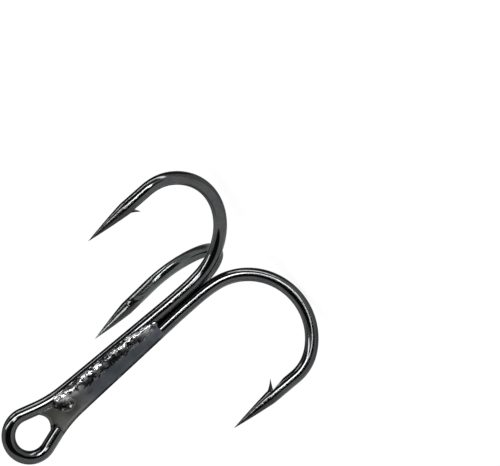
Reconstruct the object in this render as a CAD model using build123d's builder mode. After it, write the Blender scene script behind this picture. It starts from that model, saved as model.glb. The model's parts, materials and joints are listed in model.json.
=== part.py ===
"""Treble fishing hook: a double hook and a single hook, brazed together along their shanks.

The origin is the middle of the eye.  +Z runs up the shank, from the bends to the eye, and the
eye's hole runs along Y.  The double hook is one wire: up one leg, round the eye and down the
other leg, with a hook at each end.  The single hook lies behind it, in the groove between the
two legs.  Filler metal joins the three shanks along their grooves.
"""

import os
from dataclasses import dataclass
from math import acos, atan2, cos, degrees, hypot, radians, sin

from build123d import *

os.makedirs("parts", exist_ok=True)

# ---------------------------------------------------------------- driving dimensions
# millimetres and degrees

wire_d = 1.5
wire_r = wire_d / 2
hair = 0.01             # the least gap or overlap between faces that would otherwise just touch

# eye and shank
eye_r = 2.4             # centreline radius of the eye loop
neck_half = 1.23        # half the distance between the legs' centrelines under the eye
neck_z = -4.1
neck_bend_r = 14.0      # bend from the loop into the legs
join_z = -21.0          # height where the legs come to lie side by side
join_half = wire_r + hair   # half the distance between their centrelines there
join_bend_r = 60.0
back_join_bend_r = 30.0     # the same bend on the single hook's shank
back_top_z = -5.1       # upper end of the single hook's shank
back_top_y = 1.0        # its centreline there, nestled between the spread legs
back_join_y = 1.3       # its centreline where all three wires touch

# bend, the same for every hook
opening_r = 17.0        # gentle curve that leaves the shank
opening_angle = 8.6
bend_r = 6.87           # round bend
bend_angle = 136.2
throat_r = 5.0          # tighter curve into the spear

# point
point_length = 5.2
tip_r = 0.02
point_middle_r = 0.42   # radius halfway along the taper, which is slightly convex

# barb: a sliver cut from the inner side of the spear and raised; distances run back from the tip
barb_front = 5.1        # where the sliver's front meets the wire
barb_front_height = 0.63
barb_back = 5.78        # deep end of the cut under the sliver
barb_tip = 6.57
barb_tip_height = 1.64  # from the spear's centreline
barb_root_height = 0.42
barb_root_width = 1.2
scoop_end = 7.8         # where the cut runs out of the wire, towards the bend

# brazed seams
seam_height = 0.58      # outer face, from the plane through the two wires' centrelines
seam_inner = 0.16       # inner face of the side seams, from the same plane
web_top_z = -2.5        # lowest point of the eye's hole
web_side = 1.43         # half width of the web's concave edge where it meets the loop
web_side_z = -1.13
shoulder_half = 1.9     # half width between the legs' centrelines beside the web
shoulder_z = -1.95
web_foot_z = -5.05      # the web is full thickness down to here
front_seam_end = -18.7
side_seam_top = -5.5
side_seam_end = -17.6


@dataclass
class Hook:
    """One hook: where its shank's centreline is, which way it points, and its own small differences."""

    x: float
    y: float
    azimuth: float          # direction of the bend, degrees from +X
    shank_end: float        # height where the bend starts
    throat_angle: float
    spear_length: float


left_hook = Hook(-join_half, 0, 193.9, -23.7, 36.9, 8.83)
right_hook = Hook(join_half, 0, -23.2, -22.97, 35.9, 8.33)
back_hook = Hook(0, back_join_y, 89.3, -21.8, 46.5, 9.14)


# ---------------------------------------------------------------- centrelines


def hook_plane(hook):
    """Plane of a hook's bend: x points away from the shank, y points up, origin at the shank's end."""
    outward = Vector(cos(radians(hook.azimuth)), sin(radians(hook.azimuth)), 0)
    normal = outward.cross(Vector(0, 0, 1))
    return Plane(origin=(hook.x, hook.y, hook.shank_end), x_dir=outward, z_dir=normal)


def bend_line(hook):
    """Centreline from the shank's end round the bend and along the spear, up to where the point starts."""
    with BuildLine(hook_plane(hook)) as line:
        opening = JernArc((0, 0), (0, -1), opening_r, opening_angle)
        bend = JernArc(opening @ 1, opening % 1, bend_r, bend_angle)
        throat = JernArc(bend @ 1, bend % 1, throat_r, hook.throat_angle)
        Line(throat @ 1, throat @ 1 + (throat % 1) * (hook.spear_length - point_length))
    return line.line


def eye_tangent_angle():
    """Angle from straight down to where the leg's line touches the eye loop."""
    reach = hypot(neck_half, neck_z)
    return degrees(atan2(neck_half, -neck_z) + acos(eye_r / reach))


def eye_point(side, angle):
    """Point of the eye loop's centreline, at an angle from straight down."""
    return (side * eye_r * sin(radians(angle)), 0, -eye_r * cos(radians(angle)))


def leg_half(z):
    """Distance from the middle to a leg's centreline, between the neck and where the legs join."""
    return join_half + (neck_half - join_half) * (z - join_z) / (neck_z - join_z)


def back_shank_y(z):
    """The single hook's centreline in the brazed stretch."""
    return back_join_y + (back_top_y - back_join_y) * (z - join_z) / (back_top_z - join_z)


def half_of_double_hook(hook):
    """Centreline from the top of the eye down one leg and round its hook."""
    side = 1 if hook.x > 0 else -1
    touch = eye_tangent_angle()
    with BuildLine() as line:
        ThreePointArc(eye_point(side, 180), eye_point(side, (180 + touch) / 2), eye_point(side, touch))
        FilletPolyline(
            eye_point(side, touch),
            (side * neck_half, 0, neck_z),
            (hook.x, 0, join_z),
            (hook.x, 0, hook.shank_end),
            radius=[neck_bend_r, join_bend_r],
        )
        add(bend_line(hook))
    return line.line


def single_hook(hook):
    """Centreline of the single hook, from its upper end."""
    with BuildLine() as line:
        FilletPolyline(
            (0, back_top_y, back_top_z),
            (0, hook.y, join_z),
            (0, hook.y, hook.shank_end),
            radius=[back_join_bend_r],
        )
        add(bend_line(hook))
    return line.line


# ---------------------------------------------------------------- wire, point and barb


def sweep_wire(line):
    """Round wire along a centreline, joined to the part being made."""
    with BuildSketch(Plane(origin=line @ 0, z_dir=line % 0)) as section:
        Circle(wire_r)
    sweep(section.sketch, path=line)


def spear_plane(hook, line):
    """Plane of a finished point: x runs back from the tip, y points to the shank, origin at the tip."""
    tip = (line @ 1) + (line % 1) * point_length
    return Plane(origin=tip, x_dir=(line % 1) * -1, z_dir=hook_plane(hook).z_dir * -1)


def barb_sliver(plane):
    """The raised sliver: a slender triangle from the side, pointed seen from above."""
    lean = degrees(atan2(barb_tip_height - barb_root_height, barb_tip - barb_back))
    along = hypot(barb_tip_height - barb_root_height, barb_tip - barb_back)
    top = Plane(plane.from_local_coords((barb_back, barb_root_height, 0)), plane.x_dir, plane.y_dir)
    with BuildPart() as sliver:
        with BuildSketch(plane):
            with BuildLine():
                Polyline(
                    (barb_front, barb_root_height),
                    (barb_front, barb_front_height),
                    (barb_tip, barb_tip_height),
                    (barb_back, barb_root_height),
                    close=True,
                )
            make_face()
        extrude(amount=wire_r, both=True)
        with BuildSketch(top.rotated((0, -lean, 0))):
            with BuildLine():
                Polyline(
                    (-along, -barb_root_width / 2),
                    (0, -barb_root_width / 2),
                    (along, 0),
                    (0, barb_root_width / 2),
                    (-along, barb_root_width / 2),
                    close=True,
                )
            make_face()
        extrude(amount=wire_d, both=True, mode=Mode.INTERSECT)
    return sliver.part


def finish_point(hook, line):
    """Adds the tapered point, cuts the scoop and raises the barb, on the part being made."""
    plane = spear_plane(hook, line)
    with BuildSketch(plane) as taper:
        with BuildLine():
            ThreePointArc((0, tip_r), (point_length / 2, point_middle_r), (point_length, wire_r))
            Polyline((point_length, wire_r), (point_length, 0), (0, 0), (0, tip_r))
        make_face()
    revolve(taper.sketch, axis=Axis(plane.origin, plane.x_dir))
    with BuildSketch(plane) as scoop:
        with BuildLine():
            Polyline(
                (barb_back, barb_root_height),
                (scoop_end, wire_r + hair),
                (barb_back, wire_d),
                close=True,
            )
        make_face()
    extrude(scoop.sketch, amount=wire_d, both=True, mode=Mode.SUBTRACT)
    add(barb_sliver(plane))


# ---------------------------------------------------------------- the double hook's wire

with BuildPart() as double_hook_wire:
    for hook in (left_hook, right_hook):
        centreline = half_of_double_hook(hook)
        sweep_wire(centreline)
        finish_point(hook, centreline)

double_hook_wire.part.label = "double_hook_wire"
export_step(double_hook_wire.part, "parts/double_hook_wire.step")


# ---------------------------------------------------------------- the single hook's wire

with BuildPart() as single_hook_wire:
    back_line = single_hook(back_hook)
    sweep_wire(back_line)
    finish_point(back_hook, back_line)

single_hook_wire.part.label = "single_hook_wire"
export_step(single_hook_wire.part, "parts/single_hook_wire.step")


# ---------------------------------------------------------------- filler in the front groove

# It fills the crotch of the eye with a web and runs down between the two legs.
with BuildPart() as braze_front_seam:
    seam_foot = leg_half(front_seam_end)
    with BuildSketch(Plane.XZ):
        with BuildLine():
            ThreePointArc((-web_side, web_side_z), (0, web_top_z), (web_side, web_side_z))
            Polyline(
                (web_side, web_side_z),
                (shoulder_half, shoulder_z),
                (neck_half, neck_z),
                (seam_foot, front_seam_end + seam_foot),
            )
            ThreePointArc(
                (seam_foot, front_seam_end + seam_foot),
                (0, front_seam_end),
                (-seam_foot, front_seam_end + seam_foot),
            )
            Polyline(
                (-seam_foot, front_seam_end + seam_foot),
                (-neck_half, neck_z),
                (-shoulder_half, shoulder_z),
                (-web_side, web_side_z),
            )
        make_face()
    extrude(amount=seam_height)
    with BuildSketch(Plane.XZ):
        with BuildLine():
            ThreePointArc((-web_side, web_side_z), (0, web_top_z), (web_side, web_side_z))
            Polyline(
                (web_side, web_side_z),
                (shoulder_half, shoulder_z),
                (neck_half, neck_z),
                (neck_half, web_foot_z),
                (-neck_half, web_foot_z),
                (-neck_half, neck_z),
                (-shoulder_half, shoulder_z),
                (-web_side, web_side_z),
            )
        make_face()
    extrude(amount=-seam_height)
    add(double_hook_wire.part, mode=Mode.SUBTRACT)

braze_front_seam.part.label = "braze_front_seam"
export_step(braze_front_seam.part, "parts/braze_front_seam.step")


# ---------------------------------------------------------------- filler in the side grooves


def side_section(side, z):
    """Corners of a side seam at one height, between the single hook's shank and one leg."""
    back = Vector(0, back_shank_y(z), 0)
    leg = Vector(side * leg_half(z), 0, 0)
    outward = Vector(side * (back - leg).Y, abs((back - leg).X), 0).normalized()
    inner = outward * seam_inner
    outer = outward * seam_height
    return [(p.X, p.Y) for p in (back + inner, leg + inner, leg + outer, back + outer)]


def side_seam(side):
    """Filler along the groove between the single hook's shank and one leg of the double hook."""
    with BuildPart() as seam:
        for z in (side_seam_top, side_seam_end):
            with BuildSketch(Plane.XY.offset(z)):
                Polygon(*side_section(side, z), align=None)
        loft(ruled=True)
        add(double_hook_wire.part, mode=Mode.SUBTRACT)
        add(single_hook_wire.part, mode=Mode.SUBTRACT)
    return seam.part


for name, side in (("braze_left_seam", -1), ("braze_right_seam", 1)):
    seam_part = side_seam(side)
    seam_part.label = name
    export_step(seam_part, f"parts/{name}.step")
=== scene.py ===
"""Looks of the treble hook: plated wire with ground points and cut barbs, and lumpy brazed seams."""

import json
from dataclasses import dataclass
from math import acos, atan2, cos, degrees, exp, hypot, pi, radians, sin, sqrt

import bmesh
import bpy
import numpy as np
from mathutils import Matrix, Vector, noise


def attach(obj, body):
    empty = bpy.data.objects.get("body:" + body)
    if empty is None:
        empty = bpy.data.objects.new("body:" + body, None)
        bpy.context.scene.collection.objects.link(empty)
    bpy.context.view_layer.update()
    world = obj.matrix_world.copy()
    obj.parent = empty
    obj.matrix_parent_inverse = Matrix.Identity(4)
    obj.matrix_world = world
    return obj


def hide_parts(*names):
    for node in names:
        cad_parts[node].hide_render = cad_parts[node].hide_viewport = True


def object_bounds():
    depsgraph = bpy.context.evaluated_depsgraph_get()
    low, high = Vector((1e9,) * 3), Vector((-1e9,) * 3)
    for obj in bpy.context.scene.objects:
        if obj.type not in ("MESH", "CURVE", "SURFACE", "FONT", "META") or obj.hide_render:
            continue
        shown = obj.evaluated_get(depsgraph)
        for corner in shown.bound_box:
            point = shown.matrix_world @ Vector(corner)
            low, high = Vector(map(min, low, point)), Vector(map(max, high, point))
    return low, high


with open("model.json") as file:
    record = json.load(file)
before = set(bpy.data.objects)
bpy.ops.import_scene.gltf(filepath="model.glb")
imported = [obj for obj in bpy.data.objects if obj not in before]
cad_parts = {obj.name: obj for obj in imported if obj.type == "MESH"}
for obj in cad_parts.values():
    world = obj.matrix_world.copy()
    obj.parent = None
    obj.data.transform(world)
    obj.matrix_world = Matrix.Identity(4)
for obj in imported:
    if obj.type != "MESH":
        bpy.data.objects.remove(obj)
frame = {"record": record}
cad_low, cad_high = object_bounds()
eye_place = Vector(frame["record"]["mounts"][0]["pos_m"])

mm = 0.001

# ---------------------------------------------------------------- dimensions, the same as the CAD part's
# millimetres and degrees

wire_r = 0.75
hair = 0.01             # the least gap or overlap between faces that would otherwise just touch
eye_r = 2.4
neck_half = 1.23
neck_z = -4.1
neck_bend_r = 14.0
join_z = -21.0
join_half = wire_r + hair
join_bend_r = 60.0
back_join_bend_r = 30.0
back_top_z = -5.1
back_top_y = 1.0
back_join_y = 1.3
opening_r = 17.0
opening_angle = 8.6
bend_r = 6.87
bend_angle = 136.2
throat_r = 5.0
point_length = 5.2
tip_r = 0.02
point_middle_r = 0.42
barb_front = 5.1
barb_back = 5.78
barb_tip = 6.57
barb_tip_height = 1.64
barb_root_height = 0.42
barb_root_width = 1.2
scoop_end = 7.8


@dataclass
class Hook:
    """One hook: where its shank is, which way it points, and its own small differences."""

    x: float
    y: float
    azimuth: float          # direction of the bend, degrees from +X
    shank_end: float        # height where the bend starts
    throat_angle: float
    spear_length: float


left_hook = Hook(-join_half, 0, 193.9, -23.7, 36.9, 8.83)
right_hook = Hook(join_half, 0, -23.2, -22.97, 35.9, 8.33)
back_hook = Hook(0, back_join_y, 89.3, -21.8, 46.5, 9.14)

step = 0.14             # distance between the wire's rings
facets = 64             # vertices round the wire


# ---------------------------------------------------------------- centrelines


def vec(*p):
    return np.array(p, float)


def unit(v):
    return v / np.linalg.norm(v)


def smooth_step(x, low, high):
    k = min(1.0, max(0.0, (x - low) / (high - low)))
    return k * k * (3 - 2 * k)


def straight(a, b):
    """Points from a to b, without b."""
    n = max(1, int(np.linalg.norm(b - a) / step))
    return [a + (b - a) * i / n for i in range(n)]


def arc_from(start, tangent, inward, radius, angle):
    """Points along an arc, its end point and its end direction.  inward points to the arc's centre."""
    n = max(2, int(radius * radians(angle) / step))
    centre = start + inward * radius

    def at(a):
        return centre - inward * radius * cos(a) + tangent * radius * sin(a)

    end = radians(angle)
    points = [at(end * i / n) for i in range(n)]
    return points, at(end), tangent * cos(end) + inward * sin(end)


def rounded(corners, radii):
    """Points along a polyline whose inner corners are rounded, its last corner included."""
    points, start = [], corners[0]
    for before, corner, after, radius in zip(corners, corners[1:], corners[2:], radii):
        d1, d2 = unit(corner - before), unit(after - corner)
        turn = acos(min(1.0, float(d1 @ d2)))
        cut = radius * np.tan(turn / 2)
        arc_start = corner - d1 * cut
        points += straight(start, arc_start)
        arc, start, _ = arc_from(arc_start, d1, unit(d2 - d1 * (d1 @ d2)), radius, degrees(turn))
        points += arc
    return points + straight(start, corners[-1]) + [corners[-1]]


def outward_of(hook):
    """Horizontal direction in which a hook bends away from the shank."""
    return vec(cos(radians(hook.azimuth)), sin(radians(hook.azimuth)), 0)


def bend_points(hook):
    """Points from the shank's end to the point's tip, without the first; and the spear's direction."""
    down = vec(0, 0, -1)
    points, at, along = [], vec(hook.x, hook.y, hook.shank_end), down
    arcs = ((opening_r, opening_angle), (bend_r, bend_angle), (throat_r, hook.throat_angle))
    for radius, angle in arcs:
        inward = unit(np.cross(np.cross(down, outward_of(hook)), along))
        arc, at, along = arc_from(at, along, inward, radius, angle)
        points += arc
    tip = at + along * hook.spear_length
    return (points + straight(at, tip) + [tip])[1:], along


def eye_point(side, angle):
    """Point of the eye's centreline, at an angle from straight down."""
    return vec(side * eye_r * sin(radians(angle)), 0, -eye_r * cos(radians(angle)))


def leg_points(side, hook):
    """Points from the top of the eye down one leg to where its hook starts."""
    touch = degrees(atan2(neck_half, -neck_z) + acos(eye_r / hypot(neck_half, neck_z)))
    n = int(eye_r * radians(180 - touch) / step)
    loop = [eye_point(side, 180 + (touch - 180) * i / n) for i in range(n)]
    corners = [
        eye_point(side, touch),
        vec(side * neck_half, 0, neck_z),
        vec(hook.x, 0, join_z),
        vec(hook.x, 0, hook.shank_end),
    ]
    return loop + rounded(corners, (neck_bend_r, join_bend_r))


left_line = leg_points(-1, left_hook) + bend_points(left_hook)[0]
right_line = leg_points(1, right_hook) + bend_points(right_hook)[0]
double_line = left_line[:0:-1] + right_line
back_corners = [
    vec(0, back_top_y, back_top_z),
    vec(0, back_join_y, join_z),
    vec(0, back_join_y, back_hook.shank_end),
]
back_line = rounded(back_corners, (back_join_bend_r,)) + bend_points(back_hook)[0]


# ---------------------------------------------------------------- wire meshes


def taper(distance):
    """The wire's radius at a distance from a point's tip: slightly convex."""
    if distance >= point_length:
        return wire_r
    k = distance / point_length
    # the parabola through the radii at the tip, halfway and at the full wire
    return tip_r * (1 - k) * (1 - 2 * k) + point_middle_r * 4 * k * (1 - k) + wire_r * k * (2 * k - 1)


def blunt(distance):
    """The wire's radius at a distance from a cropped end."""
    round_off = 0.3
    if distance >= round_off:
        return wire_r
    return wire_r - round_off + sqrt(round_off**2 - (round_off - distance) ** 2)


def tube(line, start_radius, end_radius):
    """A closed mesh of rings along a line, with UVs in millimetres: x along the wire, y round it."""
    pts = np.array(line)
    gaps = np.linalg.norm(np.diff(pts, axis=0), axis=1)
    along = np.concatenate([[0], np.cumsum(gaps)])
    total = along[-1]
    tangents = np.gradient(pts, axis=0)
    tangents /= np.linalg.norm(tangents, axis=1)[:, None]
    side = unit(np.cross(tangents[0], vec(0.3, 1, 0.2)))
    bm = bmesh.new()
    rings = []
    for p, t, s in zip(pts, tangents, along):
        side = unit(side - t * (side @ t))
        other = np.cross(t, side)
        radius = min(start_radius(s), end_radius(total - s))
        ring = []
        for k in range(facets):
            a = 2 * pi * k / facets
            ring.append(bm.verts.new((p + radius * (side * cos(a) + other * sin(a))) * mm))
        rings.append(ring)
    uv = bm.loops.layers.uv.new("wire")
    round_mm = 2 * pi * wire_r / facets
    for i in range(len(rings) - 1):
        for k in range(facets):
            j = (k + 1) % facets
            face = bm.faces.new((rings[i][k], rings[i][j], rings[i + 1][j], rings[i + 1][k]))
            corners = ((i, k), (i, k + 1), (i + 1, k + 1), (i + 1, k))
            for loop, (row, column) in zip(face.loops, corners):
                loop[uv].uv = (along[row], column * round_mm)
    bm.faces.new(rings[0][::-1])
    bm.faces.new(rings[-1])
    bmesh.ops.recalc_face_normals(bm, faces=bm.faces)
    return bm


def new_object(name, bm, material=None):
    mesh = bpy.data.meshes.new(name)
    bm.to_mesh(mesh)
    bm.free()
    if material:
        mesh.materials.append(material)
    obj = bpy.data.objects.new(name, mesh)
    bpy.context.scene.collection.objects.link(obj)
    return obj


def skin(bm, rings):
    """Faces between rings of vertices, and over both ends."""
    count = len(rings[0])
    for a, b in zip(rings, rings[1:]):
        for k in range(count):
            bm.faces.new((a[k], a[(k + 1) % count], b[(k + 1) % count], b[k]))
    bm.faces.new(rings[0][::-1])
    bm.faces.new(rings[-1])
    bmesh.ops.recalc_face_normals(bm, faces=bm.faces)


def loft(name, rows):
    """Closed object through rows of points that go round."""
    bm = bmesh.new()
    skin(bm, [[bm.verts.new(Vector(p) * mm) for p in row] for row in rows])
    return new_object(name, bm)


def spear_frame(hook):
    """Directions back along the spear, to the shank, and sideways."""
    spear = bend_points(hook)[1]
    outward = outward_of(hook)
    back = -spear
    side = unit(np.cross(vec(0, 0, 1), outward))
    height = unit(np.cross(side, back))
    if height @ outward > 0:
        height = -height
    return back, height, side


def scoop_cutter(hook, tip):
    """Wedge that a chisel would remove behind the barb."""
    back, height, side = spear_frame(hook)
    slope = (wire_r + hair - barb_root_height) / (scoop_end - barb_back)
    past = 0.5
    corners = [
        (barb_back, barb_root_height),
        (scoop_end, wire_r + hair),
        (scoop_end + past, wire_r + hair + slope * past),
        (scoop_end + past, 3 * wire_r),
        (barb_back, 3 * wire_r),
    ]
    rows = [
        [tip + back * x + height * y + side * w for x, y in corners]
        for w in (-1.5 * wire_r, 1.5 * wire_r)
    ]
    return loft("scoop", rows)


def barb_tongue(hook, tip):
    """The raised sliver: full width where it leaves the wire, bent up and drawn out to a sharp end."""
    back, height, side = spear_frame(hook)
    front = wire_r - 0.09                   # the sliver starts a little under the wire's surface
    root = barb_root_height - 0.2           # and is rooted below the scoop's floor
    edge = 0.012                            # it ends this thin and this narrow
    narrowing_from = 0.3
    rows, sections, across = [], 18, 10
    for i in range(sections + 1):
        k = i / sections
        x = barb_front + (barb_tip - barb_front) * k
        lift = k**1.5
        top = front * (1 - lift) + barb_tip_height * lift
        rise = max(0.0, (x - barb_back) / (barb_tip - barb_back))
        under = min(root + (barb_tip_height - root) * rise**0.9, top - edge)
        narrowing = max(0.0, (k - narrowing_from) / (1 - narrowing_from)) ** 1.2
        half = barb_root_width / 2 * (1 - narrowing) + edge
        upper, lower = [], []
        for j in range(across + 1):
            w = half * (2 * j / across - 1)
            crown = top - (wire_r - sqrt(wire_r**2 - w**2))
            upper.append(tip + back * x + height * crown + side * w)
            lower.append(tip + back * x + height * min(under, crown - hair) + side * w)
        rows.append(upper + lower[::-1])
    return loft("tongue", rows)


def carve(obj, cutter, operation):
    """Applies a boolean with the cutter, which is then removed."""
    modifier = obj.modifiers.new("carve", "BOOLEAN")
    modifier.operation = operation
    modifier.solver = "EXACT"
    modifier.object = cutter
    bpy.context.view_layer.update()
    depsgraph = bpy.context.evaluated_depsgraph_get()
    mesh = bpy.data.meshes.new_from_object(obj.evaluated_get(depsgraph))
    obj.modifiers.clear()
    obj.data = mesh
    bpy.data.objects.remove(cutter)


def shade(obj, sharp_angle):
    """Smooth faces, with edges sharp where they turn by more than an angle in degrees."""
    bm = bmesh.new()
    bm.from_mesh(obj.data)
    for face in bm.faces:
        face.smooth = True
    for edge in bm.edges:
        edge.smooth = edge.calc_face_angle(0) < radians(sharp_angle)
    bm.to_mesh(obj.data)
    bm.free()


# ---------------------------------------------------------------- node helpers


def new_tree(material_name):
    material = bpy.data.materials.new(material_name)
    material.use_nodes = True
    return material, material.node_tree, material.node_tree.nodes["Principled BSDF"]


def feed(tree, socket, value):
    """Sets a socket to a number or vector, or links another socket to it."""
    if isinstance(value, bpy.types.NodeSocket):
        tree.links.new(value, socket)
    else:
        socket.default_value = value


def calc(tree, operation, *values, clamp=False):
    node = tree.nodes.new("ShaderNodeMath")
    node.operation, node.use_clamp = operation, clamp
    for socket, value in zip(node.inputs, values):
        feed(tree, socket, value)
    return node.outputs[0]


def dot(tree, vector, axis):
    node = tree.nodes.new("ShaderNodeVectorMath")
    node.operation = "DOT_PRODUCT"
    feed(tree, node.inputs[0], vector)
    node.inputs[1].default_value = axis
    return node.outputs["Value"]


def ramp(tree, value, low, high, to_low=0.0, to_high=1.0):
    """Smooth step of a value from low to high."""
    node = tree.nodes.new("ShaderNodeMapRange")
    node.interpolation_type = "SMOOTHSTEP"
    names = ("Value", "From Min", "From Max", "To Min", "To Max")
    for name, x in zip(names, (value, low, high, to_low, to_high)):
        feed(tree, node.inputs[name], x)
    return node.outputs["Result"]


def blend_colour(tree, factor, a, b):
    node = tree.nodes.new("ShaderNodeMix")
    node.data_type = "RGBA"
    feed(tree, node.inputs["Factor"], factor)
    feed(tree, node.inputs["A"], a)
    feed(tree, node.inputs["B"], b)
    return node.outputs["Result"]


def speckle(tree, vector, scale, detail=3.0, roughness=0.55):
    node = tree.nodes.new("ShaderNodeTexNoise")
    feed(tree, node.inputs["Vector"], vector)
    for name, x in (("Scale", scale), ("Detail", detail), ("Roughness", roughness)):
        node.inputs[name].default_value = x
    return node.outputs["Fac"]


def stretched(tree, source, scale):
    node = tree.nodes.new("ShaderNodeMapping")
    node.inputs["Scale"].default_value = scale
    tree.links.new(source, node.inputs["Vector"])
    return node.outputs["Vector"]


def height_of(tree, place):
    """Height up the shank at a place, in metres."""
    node = tree.nodes.new("ShaderNodeSeparateXYZ")
    tree.links.new(place, node.inputs["Vector"])
    return node.outputs["Z"]


def vertex_mask(tree, name):
    """A value stored on the mesh's vertices."""
    node = tree.nodes.new("ShaderNodeAttribute")
    node.attribute_name = name
    return node.outputs["Fac"]


def bump(tree, height, strength, distance, normal=None):
    node = tree.nodes.new("ShaderNodeBump")
    node.inputs["Strength"].default_value = strength
    node.inputs["Distance"].default_value = distance
    tree.links.new(height, node.inputs["Height"])
    if normal:
        tree.links.new(normal, node.inputs["Normal"])
    return node.outputs["Normal"]


# ---------------------------------------------------------------- materials


def gray(level):
    return (level, level, level, 1)


def plated_wire(name, deep, pale, sleek, dull):
    """Black nickel over drawn wire: a dark mirror with draw lines, blemishes and ground points."""
    material, tree, shader = new_tree(name)
    place = tree.nodes.new("ShaderNodeTexCoord").outputs["Object"]
    wire = tree.nodes.new("ShaderNodeUVMap")
    wire.uv_map = "wire"
    unrolled = wire.outputs["UV"]
    ground = vertex_mask(tree, "ground")
    cloud = speckle(tree, place, 160.0)
    lines = speckle(tree, stretched(tree, unrolled, (0.35, 9.0, 1.0)), 1.0, 4.0)
    mottle = speckle(tree, stretched(tree, unrolled, (2.2, 5.0, 1.0)), 1.0, 3.0)
    pits = speckle(tree, place, 2600.0, 2.0)
    # specks of residue on the wires below the seams
    residue_z = -22.5 * mm
    away = calc(tree, "ABSOLUTE", calc(tree, "SUBTRACT", height_of(tree, place), residue_z))
    residue = ramp(tree, away, 0.0012, 0.0035, 1.0, 0.0)

    shades = calc(tree, "ADD", calc(tree, "MULTIPLY", cloud, 0.4), calc(tree, "MULTIPLY", mottle, 0.3))
    shades = calc(tree, "ADD", shades, calc(tree, "MULTIPLY", lines, 0.3))
    plate = blend_colour(tree, ramp(tree, shades, 0.38, 0.62), deep, pale)
    worn = calc(tree, "MULTIPLY", ground, 0.66)
    plate = blend_colour(tree, worn, plate, (0.030, 0.030, 0.031, 1))
    tree.links.new(plate, shader.inputs["Base Color"])
    shader.inputs["Metallic"].default_value = 1.0
    shader.inputs["Specular Tint"].default_value = (0.45, 0.45, 0.46, 1)
    rough = ramp(tree, lines, 0.3, 0.75, sleek, dull)
    rough = calc(tree, "ADD", rough, calc(tree, "MULTIPLY", ground, 0.04))
    tree.links.new(rough, shader.inputs["Roughness"])
    normal = bump(tree, lines, 0.14, 0.02 * mm)
    normal = bump(tree, pits, 0.12, 0.02 * mm, normal)
    normal = bump(tree, calc(tree, "MULTIPLY", ground, mottle), 0.6, 0.02 * mm, normal)
    normal = bump(tree, calc(tree, "MULTIPLY", residue, pits), 0.45, 0.03 * mm, normal)
    tree.links.new(normal, shader.inputs["Normal"])
    return material


def plated_braze():
    """The same plating over filler metal: duller, silvery crumbs on the bead, and beside it a darkening
    that is partly soot and partly painted shade and painted dark reflection.
    """
    material, tree, shader = new_tree("plated_filler")
    place = tree.nodes.new("ShaderNodeTexCoord").outputs["Object"]
    # the second mask is soot and painted shade together
    bead, soot_and_shade = vertex_mask(tree, "bead"), vertex_mask(tree, "soot_and_shade")
    cloud = speckle(tree, place, 420.0, 4.0)
    grit = speckle(tree, place, 3800.0, 3.0)
    crumbs = speckle(tree, place, 1600.0, 2.0, 0.5)
    patches = ramp(tree, cloud, 0.3, 0.7)
    at_eye = ramp(tree, height_of(tree, place), -8.5 * mm, -6.0 * mm)

    blued = blend_colour(tree, patches, (0.050, 0.056, 0.065, 1), (0.096, 0.103, 0.115, 1))
    pale = blend_colour(tree, patches, (0.125, 0.124, 0.120, 1), (0.160, 0.159, 0.154, 1))
    smooth = blend_colour(tree, at_eye, blued, pale)
    bare = ramp(tree, crumbs, 0.38, 0.56)
    silvery = blend_colour(tree, bare, (0.020, 0.020, 0.021, 1), (0.40, 0.40, 0.40, 1))
    # the dark laid on by that mask: soot in part, painted shade and painted dark reflection in part,
    # varied by noise
    worn = ramp(tree, crumbs, 0.54, 0.72)
    black = blend_colour(tree, worn, (0.006, 0.007, 0.007, 1), (0.07, 0.07, 0.068, 1))
    colour = blend_colour(tree, bead, smooth, silvery)
    # soot and painted shade darken the plating here
    colour = blend_colour(tree, calc(tree, "MULTIPLY", soot_and_shade, 0.92), colour, black)
    tree.links.new(colour, shader.inputs["Base Color"])
    shader.inputs["Metallic"].default_value = 1.0
    shader.inputs["Specular Tint"].default_value = gray(0.22)
    satin = calc(tree, "MULTIPLY", at_eye, 0.13)
    rough = calc(tree, "ADD", ramp(tree, cloud, 0.3, 0.7, 0.16, 0.27), satin)
    tree.links.new(rough, shader.inputs["Roughness"])
    height = calc(tree, "MULTIPLY", crumbs, calc(tree, "ADD", bead, 0.03))
    normal = bump(tree, height, 0.5, 0.07 * mm)
    normal = bump(tree, grit, 0.05, 0.02 * mm, normal)
    tree.links.new(normal, shader.inputs["Normal"])
    return material


bright_wire = plated_wire("black_nickel", (0.054, 0.055, 0.057, 1), (0.094, 0.095, 0.097, 1), 0.055, 0.13)
dull_wire = plated_wire(
    "dull_black_nickel", (0.068, 0.075, 0.073, 1), (0.120, 0.130, 0.126, 1), 0.11, 0.19
)
braze = plated_braze()


# ---------------------------------------------------------------- wires


def mark_ground(obj, tips):
    """Vertex mask: 1 over the ground points, fading out behind the barbs."""
    layer = obj.data.attributes.new("ground", "FLOAT", "POINT")
    for vert, value in zip(obj.data.vertices, layer.data):
        away = min((vert.co / mm - tip).length for tip in tips)
        value.value = 1 - smooth_step(away, 5.0, 7.5)


def wire_piece(name, line, start_radius, hooks, material):
    """A wire with its barbs cut and raised.  hooks pairs each hook with its tip."""
    obj = new_object(name, tube(line, start_radius, taper), material)
    for hook, tip in hooks:
        carve(obj, scoop_cutter(hook, tip), "DIFFERENCE")
        carve(obj, barb_tongue(hook, tip), "UNION")
    shade(obj, 28)
    mark_ground(obj, [Vector(tip) for _, tip in hooks])
    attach(obj, "root")
    return obj


double_points = ((left_hook, double_line[0]), (right_hook, double_line[-1]))
double_wire = wire_piece("double_hook", double_line, taper, double_points, bright_wire)
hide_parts("double_hook_wire")
single_points = ((back_hook, back_line[-1]),)
single_wire = wire_piece("single_hook", back_line, blunt, single_points, dull_wire)
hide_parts("single_hook_wire")


# ---------------------------------------------------------------- filler in the front groove

# The face is worked out over u, across the shank, and z, up the shank.  Heights stand out from the
# plane through the two legs' centrelines.

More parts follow.
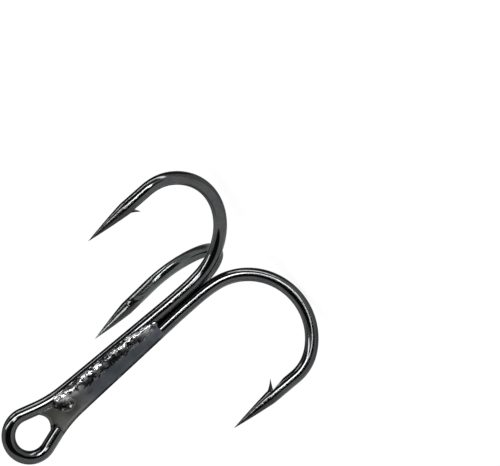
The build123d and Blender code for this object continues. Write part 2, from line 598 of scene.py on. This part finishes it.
web_top = -2.6                  # lowest point of the eye's hole
lip_z = -2.7                    # where the web's ragged lip lies on the left leg
foot_z = -18.25                 # lower end of the seam
bead_inner, bead_outer = 0.44, 0.25     # how far the bead spreads to the left and to the right
drop_u, drop_z = 0.5, -4.85     # the lumpy drop where the bead starts, a slanting oval
drop_half_length, drop_half_width = 1.45, 0.95
smudge_u, smudge_z = -0.56, -7.9        # a sooty smudge on the smooth face

leg_curve = np.array([p for p in right_line if -22 < p[2] < 0 and p[0] < eye_r])
leg_curve = leg_curve[np.argsort(leg_curve[:, 2])]


def leg_at(z):
    """Distance of a leg's centreline from the middle, at a height."""
    return float(np.interp(z, leg_curve[:, 2], leg_curve[:, 0]))


def leg_lean(z):
    """Cosine of a leg's lean at a height."""
    slope = (leg_at(z + 0.1) - leg_at(z - 0.1)) / 0.2
    return 1 / sqrt(1 + slope**2)


def wire_height(across):
    """How far the wire's front stands out, at a distance across from its centreline."""
    return sqrt(max(0.0, wire_r**2 - across**2))


def lumps(u, z, size, seed, stretch=1.0):
    """Smooth noise from -1 to 1, lumps of about a size, longer along the shank if stretched."""
    return noise.noise(Vector((u / size, z / size / stretch, seed)))


def hill(x, width):
    """Bell curve: 1 at 0, falling away over a width."""
    return exp(-((x / width) ** 2))


def rounded_end(inwards, length):
    """0 at an end and 1 from a length inwards, along a quarter circle."""
    share = min(1.0, inwards / length)
    return sqrt(max(0.0, 1 - (1 - share) ** 2))


def face_tilt(z):
    """Slope of the smooth face: it rises to the right leg below, and falls a little at the eye."""
    return radians(6 - 7.5 * smooth_step(z, -7.5, -4.2))


def fall_tilt(z):
    """Slope of the rough side, which falls to the right over the right leg."""
    return radians(30 - 27 * smooth_step(z, -6.5, -4.2))


def low_end(z):
    """How far the filler's rough side has moved inwards at its lower end."""
    return 0.45 * (1 - smooth_step(z, -18.2, -14.8))


def bead_line(z):
    """Where the rough bead runs: along the right leg, wandering."""
    dip = 0.30 * hill(z + 6.8, 0.9)
    flare = 0.24 * smooth_step(z, -5.5, -4.3)
    return leg_at(z) - low_end(z) - dip + flare + 0.09 * lumps(0, z, 2.0, 3.0)


def bare_face(u, z):
    """Height of the filler without its lumps, and of the wires under it."""
    left, right = (u + leg_at(z)) * leg_lean(z), (u - leg_at(z)) * leg_lean(z)
    under = max(wire_height(left), wire_height(right))
    tilt = face_tilt(z)
    face = (wire_r + left * sin(tilt)) / cos(tilt)
    if left < -wire_r * sin(tilt):
        face = wire_height(left)
    tilt = fall_tilt(z)
    fall = (wire_r - right * sin(tilt)) / cos(tilt)
    if right > wire_r * sin(tilt):
        fall = wire_height(right)
    ridge_r = 0.16
    overlap = max(0.0, ridge_r - abs(face - fall))
    return min(face, fall) - overlap**2 / (4 * ridge_r), under


def bead_shape(u, z):
    """How much there is of the bead's rough crest, and of the crusted skirt to its left."""
    bead = bead_line(z)
    crest = hill(u - bead, bead_inner if u < bead else bead_outer)
    crest *= 1 - smooth_step(z, -4.5, -3.8)
    skirt = smooth_step(u, bead - 1.15, bead - 0.75) * (1 - smooth_step(u, bead - 0.45, bead))
    skirt *= smooth_step(z, -17.2, -15.8) * (1 - smooth_step(z, -8.5, -6.8))
    return crest, skirt


def drop_shape(u, z):
    """How much there is of the drop, and of its darker side, away from the bead."""
    along = (u - drop_u + z - drop_z) / sqrt(2) / drop_half_length
    aside = (u - drop_u - z + drop_z) / sqrt(2) / drop_half_width
    reach = hypot(along, aside) + 0.22 * lumps(u, z, 0.55, 23.0)
    inside = 1 - smooth_step(reach, 0.78, 1.0)
    return inside, inside * (1 - smooth_step(aside + 0.5 * min(0.0, along), -0.1, 0.4))


def soot_and_painted_shade(u, z):
    """How dark the plating is painted beside the bead, on the smooth face and at the seam's edges: a
    smudge of soot, and painted shade.
    """
    bead = bead_line(z)
    # painted dark reflection: a black band beside the bead, where the wire's flank reflects dark
    # surroundings
    outer = smooth_step(u, bead + 0.16, bead + 0.30) * (1 - smooth_step(z, -5.3, -4.4))
    smudge = 0.5 * hill(u - smudge_u, 0.22) * hill(z - smudge_z, 0.45)
    # painted shadow along the web's ragged lip on the left leg
    lip = 0.8 * (1 - smooth_step(u, -0.9, -0.6)) * smooth_step(z, lip_z - 0.35, lip_z - 0.1)
    # painted shade: a dark edge where the face turns away over the outer side of the left leg
    painted_edge_shade = 0.9 * (1 - smooth_step(u + leg_at(z), -0.60, -0.18))
    return max(outer, smudge, lip, painted_edge_shade)


def seam_cover(u, z):
    """1 over most of the seam, falling to 0 where its ragged edge runs out into the wires."""
    leg, at_neck = leg_at(z), smooth_step(z, -4.7, -3.6)
    ragged = 0.12 * lumps(u, z, 0.35, 13.0) + 0.05 * lumps(u, z, 0.15, 17.0)
    right_edge = leg + 0.42 - 0.9 * low_end(z) - 0.52 * at_neck + ragged * (1 - 0.9 * at_neck)
    inside = min(
        z - foot_z - 0.3 * ragged,
        (right_edge - u) / (1 + 2 * at_neck),
        u + leg + 0.99 * wire_r + smooth_step(z, -17.4, -16.6),
        u + 1.12 + 1.2 * smooth_step(z, foot_z + 0.15, foot_z + 0.75),
        lip_z + 0.9 * ragged - z + 3.0 * smooth_step(u, -0.75, -0.35),
    )
    k = min(1.0, max(0.0, inside / 0.16))
    steep, gentle = sqrt(1 - (1 - k) ** 2), smooth_step(k, 0, 1)
    return steep + (gentle - steep) * at_neck


def braze_face(u, z):
    """Height of the filler's front face, how rough it is there, and how dark its plating is painted
    there, by soot and by painted shade.
    """
    top, under = bare_face(u, z)
    crest, skirt = bead_shape(u, z)
    in_drop, drop_dark_side = drop_shape(u, z)
    rough = max(crest, 0.85 * skirt, in_drop)
    lumpy = 0.11 * lumps(u, z, 0.36, 7.0, 1.6) + 0.05 * lumps(u, z, 0.19, 11.0, 1.3)
    lumpy += 0.08 * lumps(u, z, 0.75, 5.0, 1.8)
    top += 0.02 - 0.015 * smooth_step(z, -5.3, -4.4) + 0.008 * lumps(u, z, 1.3, 2.0, 2.0)
    top += rough * lumpy + 0.12 * crest + 0.06 * in_drop
    sunk = max(0.03, under - 0.08 + 0.07 * smooth_step(z, -4.7, -3.6))
    # soot and painted shade together, for the plating's darkening
    soot_and_shade = max(skirt, drop_dark_side, soot_and_painted_shade(u, z))
    return sunk + (top - sunk) * seam_cover(u, z), rough, soot_and_shade


def braze_back(u, z):
    """Height of the filler's back: in the groove below, and behind the wires' plane at the web."""
    web = smooth_step(z, -5.6, -4.6)
    behind = 0.05 * (1 - web) - 0.52 * web
    if abs(u) > leg_at(z) - 0.4:
        buried = max(wire_height((abs(u) - leg_at(z)) * leg_lean(z)) - 0.1, 0.02)
        behind = max(behind, -buried)
    return behind


def hole_edge(u):
    """Height of the eye hole's lower edge."""
    return web_top + 0.42 * min(abs(u), 1.25) ** 2


def seam_point(q, t):
    """The point at a share q across the seam, from -1 to 1, and t down it, and the top above it."""
    u = 1.6 * q
    low = foot_z - 0.25
    # a few passes settle u and z, which depend on each other near the eye
    for _ in range(4):
        top = hole_edge(u)
        z = top + (low - top) * t
        u = q * (leg_at(z) + 0.97 * wire_r / leg_lean(z))
    return u, z, top


def front_braze():
    """The filler over and between the two legs, with the web that closes the eye's crotch."""
    rows, columns = 420, 84
    rim_r = 0.28
    bm = bmesh.new()
    bead_layer = bm.verts.layers.float.new("bead")
    soot_and_shade_layer = bm.verts.layers.float.new("soot_and_shade")
    front, back = [], []
    for i in range(rows + 1):
        front_row, back_row = [], []
        for j in range(columns + 1):
            u, z, top = seam_point(-1 + 2 * j / columns, i / rows)
            height, rough, soot_and_shade = braze_face(u, z)
            rim = rounded_end(top - z, rim_r)
            height, behind = height * rim, braze_back(u, z) * rim
            vert = bm.verts.new(Vector((u, -height, z)) * mm)
            vert[bead_layer] = rough
            # how dark the plating is painted: soot and painted shade
            vert[soot_and_shade_layer] = soot_and_shade
            front_row.append(vert)
            if i > 0:
                vert = bm.verts.new(Vector((u, -min(behind, height - 0.02), z)) * mm)
            back_row.append(vert)
        front.append(front_row)
        back.append(back_row)
    for i in range(rows):
        for j in range(columns):
            bm.faces.new((front[i][j], front[i][j + 1], front[i + 1][j + 1], front[i + 1][j]))
            bm.faces.new((back[i][j], back[i + 1][j], back[i + 1][j + 1], back[i][j + 1]))
        left_side = (front[i][0], front[i + 1][0], back[i + 1][0], back[i][0])
        right_side = (back[i][-1], back[i + 1][-1], front[i + 1][-1], front[i][-1])
        for corners in (left_side, right_side):
            # front and back share the first row's vertices, so the side faces there are triangles
            bm.faces.new(list(dict.fromkeys(corners)))
    for j in range(columns):
        bm.faces.new((front[-1][j], front[-1][j + 1], back[-1][j + 1], back[-1][j]))
    bmesh.ops.recalc_face_normals(bm, faces=bm.faces)
    return new_object("front_seam", bm, braze)


# ---------------------------------------------------------------- filler in the side grooves


def side_braze(name, side):
    """Filler in the groove between the single hook's shank and one leg, without soot or painted shade."""
    rows, columns = 300, 26
    top_z, low_z = -5.0, -17.9
    bm = bmesh.new()
    bead_layer = bm.verts.layers.float.new("bead")
    made = []
    for i in range(rows + 1):
        z = top_z + (low_z - top_z) * i / rows
        share = min(1.0, max(0.0, (z - join_z) / (back_top_z - join_z)))
        back = Vector((0, back_join_y + (back_top_y - back_join_y) * share, z))
        leg = Vector((side * leg_at(z), 0, z))
        across = back - leg
        outward = Vector((side * abs(across.y), abs(across.x), 0)).normalized()
        end = rounded_end(min(i, rows - i), 9)
        outer, inner = [], []
        for j in range(columns + 1):
            # k is the share of the way from the leg's centreline to the single hook's, and crown
            # is how far the filler stands out from the plane through the two
            k = 0.12 + 0.76 * j / columns
            crown = 0.60 + 0.06 * sin(pi * k)
            crown += 0.05 * lumps(k * across.length, z, 0.5, 20.0 + side, 1.8)
            crown += 0.02 * lumps(k * across.length, z, 0.2, 30.0 + side)
            crown = 0.30 + (crown - 0.30) * rounded_end(min(j, columns - j), 3)
            crown = 0.12 + (crown - 0.12) * end
            outer.append((leg + across * k + outward * crown, 0.35 + 0.3 * lumps(k, z, 1.5, 40.0)))
            inner.append((leg + across * k + outward * 0.05, 0.3))
        ring = []
        for p, rough in outer + inner[::-1]:
            vert = bm.verts.new(p * mm)
            vert[bead_layer] = rough
            ring.append(vert)
        made.append(ring)
    skin(bm, made)
    return new_object(name, bm, braze)


for seam, node in (
    (front_braze(), "braze_front_seam"),
    (side_braze("left_seam", -1), "braze_left_seam"),
    (side_braze("right_seam", 1), "braze_right_seam"),
):
    shade(seam, 60)
    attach(seam, "root")
    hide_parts(node)

# ---------------------------------------------------------------- camera

# The camera stands where the photo was taken from.  Its place is measured from the eye's middle.
cam_right = Vector((-0.5996, -0.3210, -0.7331))
cam_up = Vector((0.7645, 0.0409, -0.6433))
cam_back = Vector((0.2365, -0.9462, 0.2208))
cam_place = eye_place + Vector((100.41, -398.60, 60.21)) * mm

camera_data = bpy.data.cameras.new("camera")
camera = bpy.data.objects.new("camera", camera_data)
bpy.context.scene.collection.objects.link(camera)
camera_data.sensor_width = 36.0
camera_data.lens = 278.17
camera_data.clip_start, camera_data.clip_end = 0.01, 20.0
camera.matrix_world = Matrix([*zip(cam_right, cam_up, cam_back, cam_place), (0, 0, 0, 1)])
bpy.context.scene.camera = camera

# ---------------------------------------------------------------- floor

floor_bm = bmesh.new()
bmesh.ops.create_grid(floor_bm, x_segments=8, y_segments=8, size=4.0)
floor_material, _, floor_shader = new_tree("pale_floor")
floor_shader.inputs["Base Color"].default_value = gray(0.15)
floor_shader.inputs["Emission Color"].default_value = gray(1)
floor_shader.inputs["Emission Strength"].default_value = 0.87
floor_shader.inputs["Roughness"].default_value = 0.9
floor_shader.inputs["Specular IOR Level"].default_value = 0.1
floor_obj = new_object("floor", floor_bm, floor_material)
floor_obj.location.z = cad_low.z - 0.2 * mm
floor_obj.visible_glossy = False

# ---------------------------------------------------------------- light

# Panels of light and black cloths hang round the object.  Each is placed as seen along the lens
# axis: its direction round the axis, how far off the axis it is, the angle of its long side, its
# half length and half width as tangents, and how bright or how dense it is.


def direction(around, away):
    a, t = radians(around), radians(away)
    return (cam_back * cos(t) + (cam_right * cos(a) + cam_up * sin(a)) * sin(t)).normalized()


def panel(tree, ray, around, away, long_side, length, width, amount, soft=0.3):
    """Amount inside a panel and 0 outside it, as seen along a ray."""
    centre = direction(around, away)
    axis = direction(long_side, 90)
    axis = (axis - centre * axis.dot(centre)).normalized()
    across = centre.cross(axis)
    ahead = dot(tree, ray, centre)
    safe = calc(tree, "MAXIMUM", ahead, 0.05)
    x = calc(tree, "DIVIDE", dot(tree, ray, axis), calc(tree, "MULTIPLY", safe, length))
    y = calc(tree, "DIVIDE", dot(tree, ray, across), calc(tree, "MULTIPLY", safe, width))
    x, y = (calc(tree, "POWER", calc(tree, "ABSOLUTE", side), 3.0) for side in (x, y))
    mask = ramp(tree, calc(tree, "ADD", x, y), 1 - soft, 1 + soft * 2, amount, 0.0)
    return calc(tree, "MULTIPLY", mask, calc(tree, "GREATER_THAN", ahead, 0.06))


cloths = (
    (-108, 12.6, 20, 1.04, 0.52, 0.97),
    (15, 38, 50, 0.25, 0.17, 0.80),
    (169, 43, 0, 0.35, 0.17, 0.45),
    (106, 54, 0, 0.75, 0.20, 0.93),
    (131, 66, 40, 0.35, 0.16, 0.95),
    (92, 108, 0, 0.90, 0.38, 0.85),
    (40, 100, -40, 0.90, 0.60, 0.35),
    (133, 122, 43, 0.60, 0.42, 0.75),
    (175, 72, 90, 0.60, 0.30, 0.30),
)
panels = (
    (88, 31, 4, 0.30, 0.082, 22.0),
    (50, 30, -40, 0.13, 0.052, 20.0),
    (59, 17.5, -40, 0.20, 0.045, 12.0),
    (149, 46, 8, 0.33, 0.065, 16.0),
    (74, 72, -84, 0.36, 0.085, 8.0),
    (100, 80, -5, 0.20, 0.10, 3.0),
    (126, 81, 36, 0.12, 0.10, 5.0),
    (114, 87, 2, 0.42, 0.045, 9.0),
    (-47, 124, 40, 0.45, 0.16, 2.0),
)

world = bpy.data.worlds.new("studio")
bpy.context.scene.world = world
world.use_nodes = True
tree = world.node_tree
background = tree.nodes["Background"]
background.inputs["Color"].default_value = gray(1)
ray = tree.nodes.new("ShaderNodeTexCoord").outputs["Generated"]
level = 1.0
for cloth in cloths:
    level = calc(tree, "MULTIPLY", calc(tree, "SUBTRACT", 1.0, panel(tree, ray, *cloth)), level)
for light in panels:
    level = calc(tree, "ADD", level, panel(tree, ray, *light))
path = tree.nodes.new("ShaderNodeLightPath")
strength = tree.nodes.new("ShaderNodeMix")
feed(tree, strength.inputs["Factor"], path.outputs["Is Glossy Ray"])
feed(tree, strength.inputs["A"], 1.0)
feed(tree, strength.inputs["B"], level)
tree.links.new(strength.outputs["Result"], background.inputs["Strength"])

bpy.context.scene.view_settings.view_transform = "Standard"
